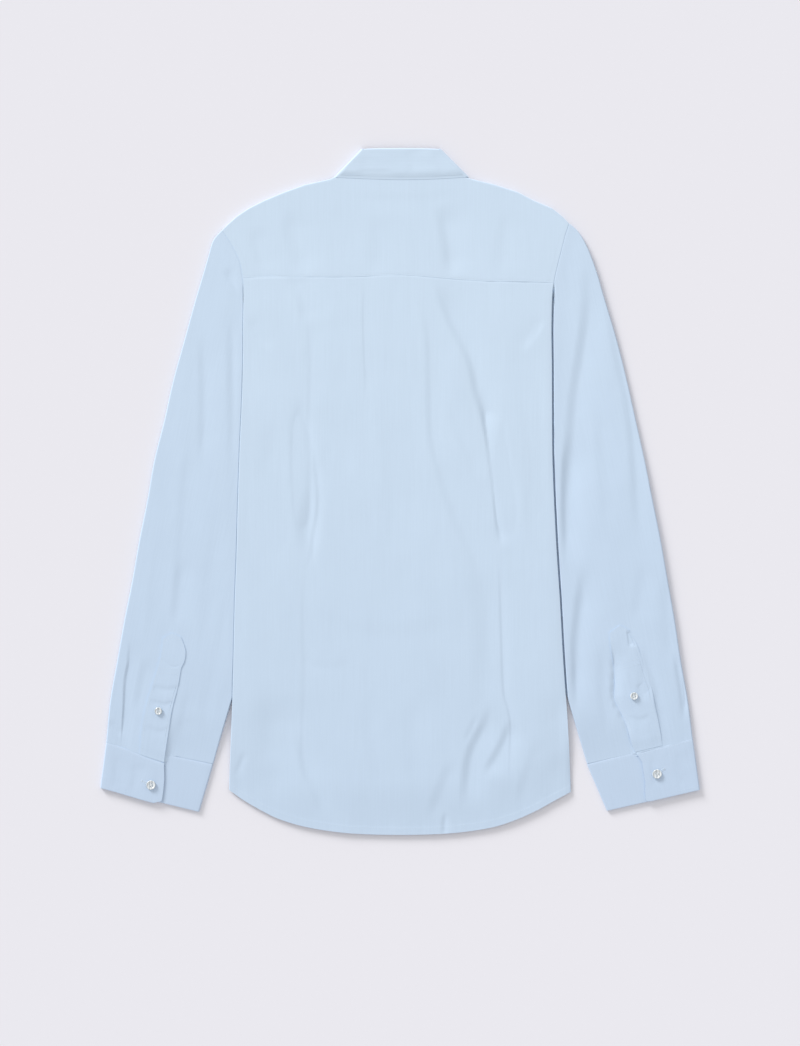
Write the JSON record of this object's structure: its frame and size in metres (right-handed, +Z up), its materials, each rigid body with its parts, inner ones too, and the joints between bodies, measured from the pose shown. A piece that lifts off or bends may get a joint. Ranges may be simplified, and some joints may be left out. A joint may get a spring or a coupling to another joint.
{
  "type": "long sleeve dress shirt",
  "caption": "Long sleeve dress shirt laid flat on its buttoned front, with a turned-down collar, back yoke, curved tail hem, guard plackets and buttoned cuffs.",
  "frame": {"origin": "centre of the part's plan on the surface that it lies on", "axes": "+X across the body towards the wearer's right sleeve, +Y along the body from hem to collar, +Z up from the surface"},
  "size_m": [0.702, 0.8037, 0.009],
  "materials": {
    "shirting": "fine plain-weave cotton, pale blue, soft and matt",
    "button": "polished, pearly off-white"
  },
  "bodies": {
    "root": {"back_panel": "shirting", "yoke": "shirting", "front_left": "shirting", "front_right": "shirting", "sleeve_left": "shirting", "sleeve_right": "shirting", "cuff_left": "shirting", "cuff_right": "shirting", "sleeve_placket_left": "shirting", "sleeve_placket_right": "shirting", "collar_fall": "shirting", "collar_stand": "shirting", "button_front_1": "button", "button_front_2": "button", "button_front_3": "button", "button_front_4": "button", "button_front_5": "button", "button_front_6": "button", "button_collar": "button", "button_placket_left": "button", "button_placket_right": "button", "button_cuff_left": "button", "button_cuff_right": "button"}
  },
  "joints": []
}
